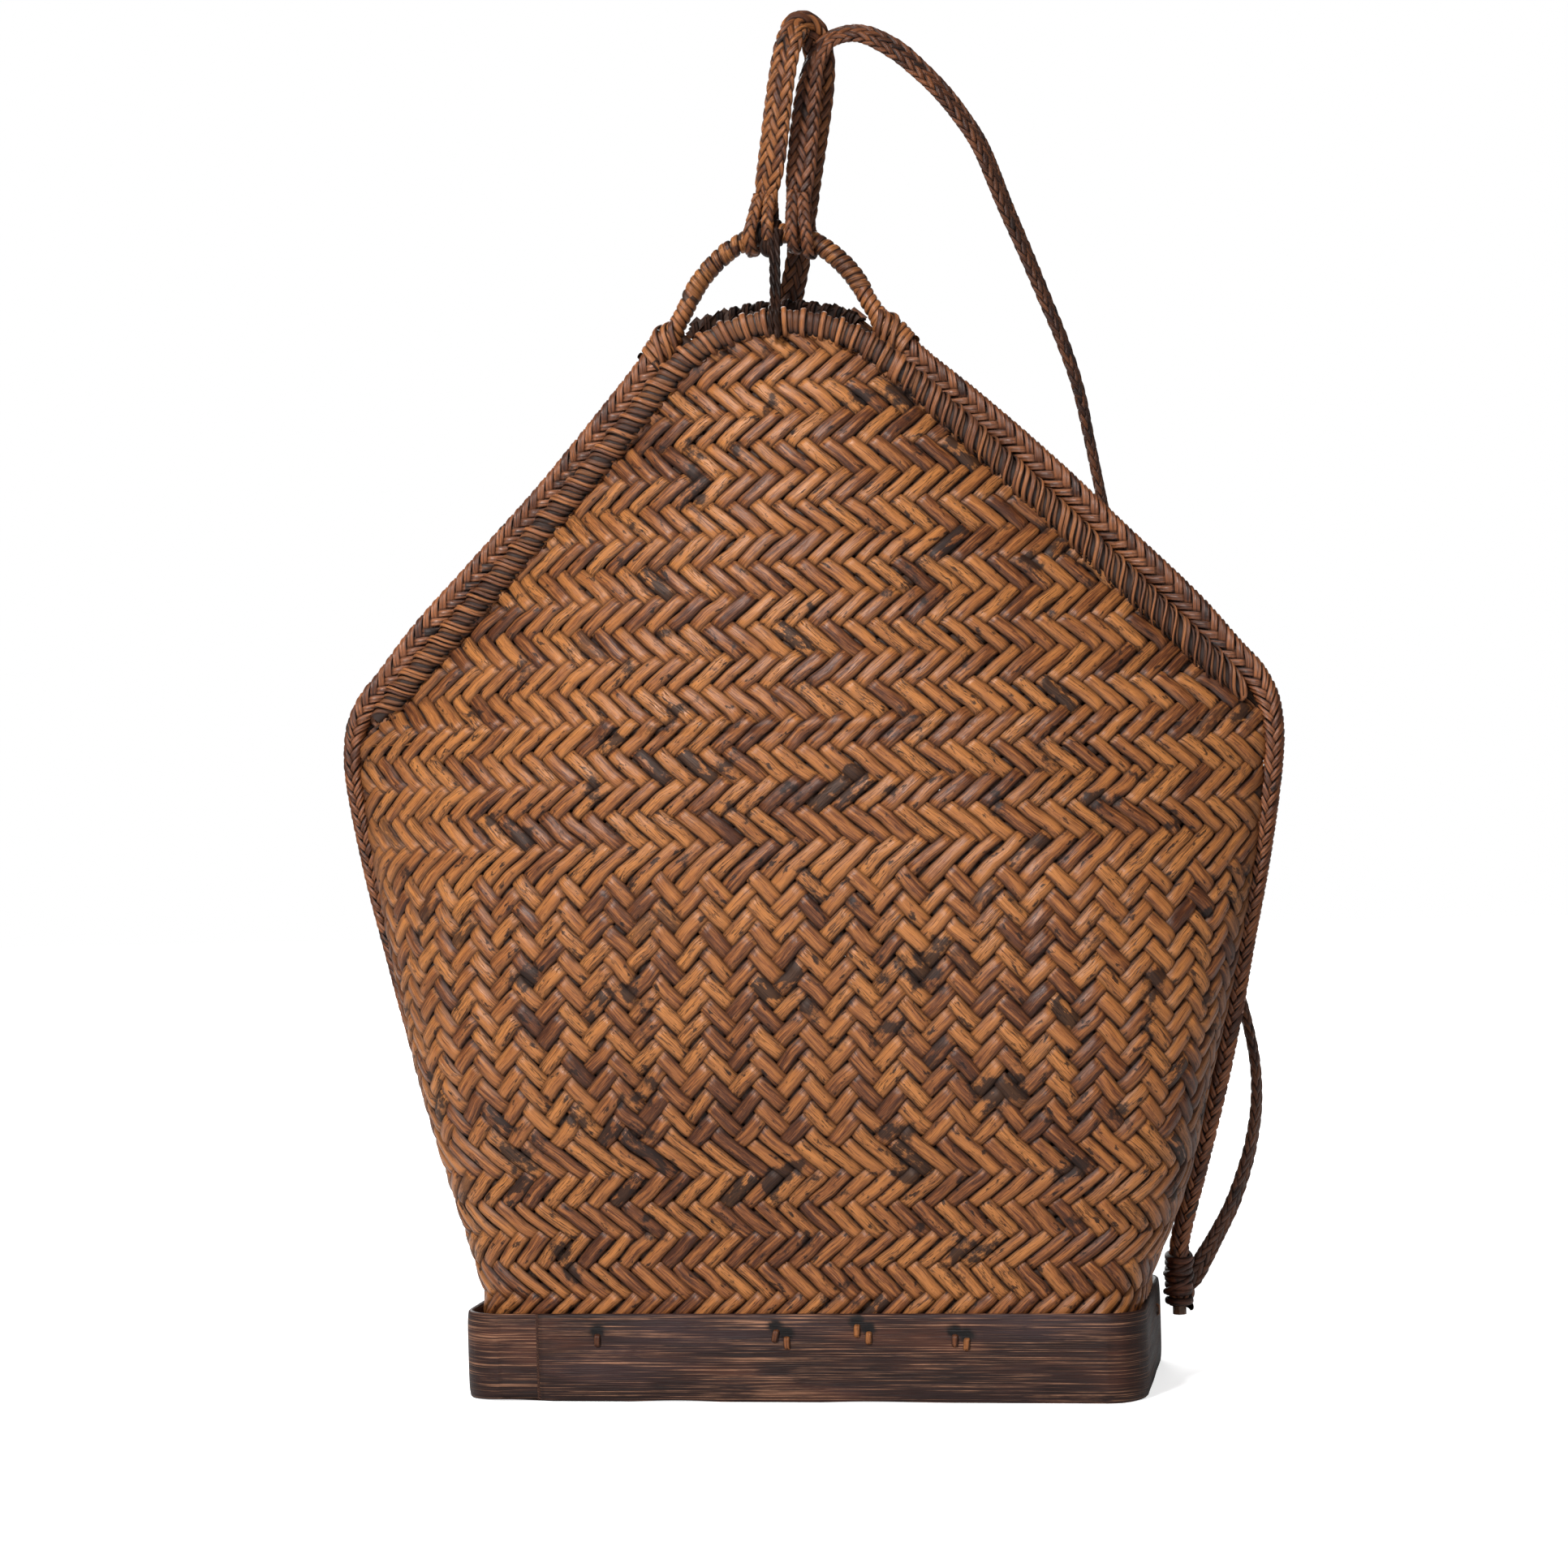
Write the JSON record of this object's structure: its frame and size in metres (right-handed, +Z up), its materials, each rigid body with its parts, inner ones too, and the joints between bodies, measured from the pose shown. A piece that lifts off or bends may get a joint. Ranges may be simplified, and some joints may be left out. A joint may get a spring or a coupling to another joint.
{
  "type": "woven pack basket",
  "caption": "Peaked plaited rattan pack basket with a bent wooden foot band, braided frame edges, a wrapped carrying arch and flat plaited shoulder straps.",
  "frame": {"origin": "middle of the woven floor's underside, level with the foot band's lower edge", "axes": "+Z up, +X to the right of the front, -Y out of the front wall"},
  "size_m": [0.394, 0.1271, 0.5657],
  "materials": {
    "plait": "glossy split rattan skeins, browned by age",
    "braid": "satin, dark brown plaited skeins",
    "wrap": "glossy wound skeins",
    "strap": "satin, plaited skeins",
    "wood": "dark, dry, open-grained wood",
    "cord": "dark twisted plant fibre"
  },
  "bodies": {
    "basket": {"woven_body": "plait", "foot_band": "wood", "band_stitch_front_1": "wrap", "band_stitch_front_2": "wrap", "band_stitch_front_3": "wrap", "band_stitch_front_4": "wrap", "band_stitch_front_5": "wrap", "band_stitch_front_6": "wrap", "band_stitch_front_7": "wrap", "band_stitch_right": "wrap", "band_stitch_left": "wrap", "band_stitch_back_1": "wrap", "band_stitch_back_2": "wrap", "band_stitch_back_3": "wrap", "front_rim": "wrap", "back_top_cord": "cord", "edge_braid_left": "braid", "edge_braid_right": "braid", "edge_rod_left": "wrap", "edge_rod_right": "wrap", "arch_rod": "wrap", "arch_wrap": "wrap", "arch_lashing_left": "wrap", "arch_lashing_right": "wrap", "tie_cord": "cord", "strap_hitch_left": "strap", "strap_hitch_right": "strap", "corner_lashing_left": "cord", "corner_lashing_right": "cord"},
    "strap_left_body": {"strap_left": "strap"},
    "strap_right_body": {"strap_right": "strap"}
  },
  "joints": [
    {"name": "strap_left_swing", "type": "hinge", "parent": "basket", "child": "strap_left_body", "pos_m": [-0.14699, 0.05087, 0.02698], "axis": [0.2841, -0.0934, 0.9542], "range_deg": [0, 40]},
    {"name": "strap_right_swing", "type": "hinge", "parent": "basket", "child": "strap_right_body", "pos_m": [0.14699, 0.05087, 0.02698], "axis": [-0.2929, -0.0932, 0.9516], "range_deg": [-20, 0]}
  ]
}
